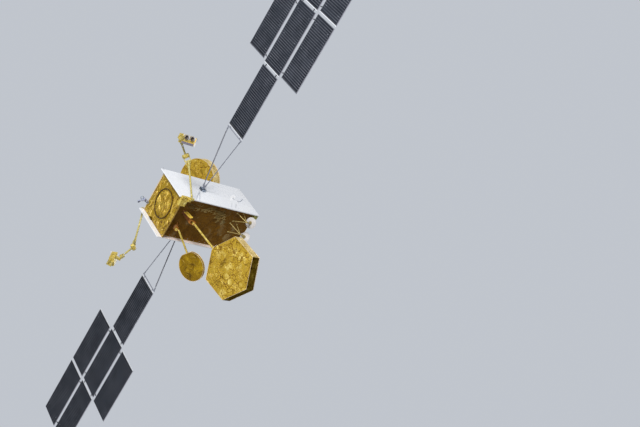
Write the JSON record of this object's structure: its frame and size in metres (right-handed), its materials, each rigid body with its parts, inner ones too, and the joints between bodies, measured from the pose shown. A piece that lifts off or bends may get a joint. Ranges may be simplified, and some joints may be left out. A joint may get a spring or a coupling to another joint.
{
  "type": "communications satellite",
  "caption": "Box-bodied communications satellite with solar wings, antenna reflectors on booms, thruster arms and steerable dishes.",
  "frame": {"origin": "centre of the launch ring's aft face", "axes": "+Z from the launch ring to the Earth deck, +Y along the north solar wing, +X to the east wall"},
  "size_m": [11.6951, 34.052, 6.8709],
  "materials": {
    "ring_metal": "satin",
    "block": "matte",
    "gold_blanket": "gloss",
    "wall_blanket": "gloss",
    "radiator_white": "gloss",
    "housing_grey": "satin",
    "bracket_orange": "satin",
    "housing_gold": "gloss",
    "strut_gold": "satin",
    "antenna_blue": "satin",
    "horn_metal": "satin",
    "cell_dark": "satin",
    "yoke_grey": "satin",
    "boom_gold": "satin",
    "head_gold": "gloss",
    "dish_white": "satin"
  },
  "bodies": {
    "bus": {"launch_ring": "ring_metal", "core_block": "block", "aft_deck": "gold_blanket", "earth_deck": "gold_blanket", "west_wall": "wall_blanket", "east_wall": "gold_blanket", "north_radiator": "radiator_white", "south_radiator": "radiator_white", "drive_housings": "housing_grey", "boom_brackets": "bracket_orange", "arm_housings": "housing_gold", "dish_tripods": "strut_gold", "aft_antenna": "antenna_blue", "feed_horns": "horn_metal", "corner_blocks": "housing_gold", "radiator_fittings": "horn_metal"},
    "wing_north": {"yoke_north": "yoke_grey", "panel_north_1": "cell_dark", "panel_north_2": "cell_dark", "panel_north_3": "cell_dark"},
    "side_north_a": {"side_panel_north_a": "cell_dark"},
    "side_north_b": {"side_panel_north_b": "cell_dark"},
    "side_north_c": {"side_panel_north_c": "cell_dark"},
    "upper_arm_north": {"upper_arm_north": "boom_gold"},
    "forearm_north": {"forearm_north": "boom_gold"},
    "thruster_head_north": {"thruster_head_north": "head_gold"},
    "wing_south": {"yoke_south": "yoke_grey", "panel_south_1": "cell_dark", "panel_south_2": "cell_dark", "panel_south_3": "cell_dark"},
    "side_south_a": {"side_panel_south_a": "cell_dark"},
    "side_south_b": {"side_panel_south_b": "cell_dark"},
    "side_south_c": {"side_panel_south_c": "cell_dark"},
    "upper_arm_south": {"upper_arm_south": "boom_gold"},
    "forearm_south": {"forearm_south": "boom_gold"},
    "thruster_head_south": {"thruster_head_south": "head_gold"},
    "hex_antenna": {"hex_boom": "boom_gold", "hex_reflector": "gold_blanket"},
    "round_antenna": {"round_boom": "boom_gold", "round_reflector": "gold_blanket"},
    "east_antenna": {"east_boom": "boom_gold", "east_reflector": "gold_blanket"},
    "dish_upper": {"dish_upper": "dish_white"},
    "dish_lower": {"dish_lower": "dish_white"}
  },
  "joints": [
    {"name": "wing_north_turn", "type": "hinge", "parent": "bus", "child": "wing_north", "pos_m": [0, 1.35, 1.83], "axis": [0, 1, 0], "continuous": true},
    {"name": "side_fold_north_a", "type": "hinge", "parent": "wing_north", "child": "side_north_a", "pos_m": [-0.9685, 11.065, 1.862], "axis": [0, 1, 0], "range_deg": [0, 180]},
    {"name": "side_fold_north_b", "type": "hinge", "parent": "wing_north", "child": "side_north_b", "pos_m": [0.9685, 11.065, 1.798], "axis": [0, 1, 0], "range_deg": [0, 180]},
    {"name": "side_fold_north_c", "type": "hinge", "parent": "wing_north", "child": "side_north_c", "pos_m": [-0.9685, 15.03, 1.862], "axis": [0, 1, 0], "range_deg": [0, 180]},
    {"name": "shoulder_north", "type": "hinge", "parent": "bus", "child": "upper_arm_north", "pos_m": [-1.707, 1.5, 0.261], "axis": [0, 0, 1], "range_deg": [0, 220]},
    {"name": "elbow_north", "type": "hinge", "parent": "upper_arm_north", "child": "forearm_north", "pos_m": [-0.059, 3.073, -0.261], "axis": [0.0101, -0.6722, -0.7403], "range_deg": [-90, 20]},
    {"name": "wrist_north", "type": "hinge", "parent": "forearm_north", "child": "thruster_head_north", "pos_m": [0.17, 3.67, -0.8], "axis": [-1, 0, 0], "range_deg": [-25, 25]},
    {"name": "wing_south_turn", "type": "hinge", "parent": "bus", "child": "wing_south", "pos_m": [0, -1.35, 1.83], "axis": [0, 1, 0], "continuous": true},
    {"name": "side_fold_south_a", "type": "hinge", "parent": "wing_south", "child": "side_south_a", "pos_m": [0.9685, -11.065, 1.862], "axis": [0, -1, 0], "range_deg": [0, 180]},
    {"name": "side_fold_south_b", "type": "hinge", "parent": "wing_south", "child": "side_south_b", "pos_m": [-0.9685, -11.065, 1.798], "axis": [0, -1, 0], "range_deg": [0, 180]},
    {"name": "side_fold_south_c", "type": "hinge", "parent": "wing_south", "child": "side_south_c", "pos_m": [0.9685, -15.03, 1.862], "axis": [0, -1, 0], "range_deg": [0, 180]},
    {"name": "shoulder_south", "type": "hinge", "parent": "bus", "child": "upper_arm_south", "pos_m": [1.707, -1.5, 0.261], "axis": [0, 0, 1], "range_deg": [0, 220]},
    {"name": "elbow_south", "type": "hinge", "parent": "upper_arm_south", "child": "forearm_south", "pos_m": [0.059, -3.073, -0.261], "axis": [-0.0101, 0.6722, -0.7403], "range_deg": [-90, 20]},
    {"name": "wrist_south", "type": "hinge", "parent": "forearm_south", "child": "thruster_head_south", "pos_m": [-0.17, -3.67, -0.8], "axis": [1, 0, 0], "range_deg": [-25, 25]},
    {"name": "hex_boom_fold", "type": "hinge", "parent": "bus", "child": "hex_antenna", "pos_m": [-1.6, 0.09, 1.24], "axis": [0, 1, 0], "range_deg": [0, 65]},
    {"name": "round_boom_fold", "type": "hinge", "parent": "bus", "child": "round_antenna", "pos_m": [-1.404, -0.587, 0.579], "axis": [0, 1, 0], "range_deg": [0, 42]},
    {"name": "east_boom_fold", "type": "hinge", "parent": "bus", "child": "east_antenna", "pos_m": [1.5, 0.244, 4], "axis": [0, 1, 0], "range_deg": [0, 75]},
    {"name": "dish_upper_tilt", "type": "hinge", "parent": "bus", "child": "dish_upper", "pos_m": [-1.728, 0.971, 4.344], "axis": [0, 1, 0], "range_deg": [-10, 10]},
    {"name": "dish_lower_tilt", "type": "hinge", "parent": "bus", "child": "dish_lower", "pos_m": [-1.728, 0.153, 4.4], "axis": [0, 1, 0], "range_deg": [-10, 10]}
  ]
}
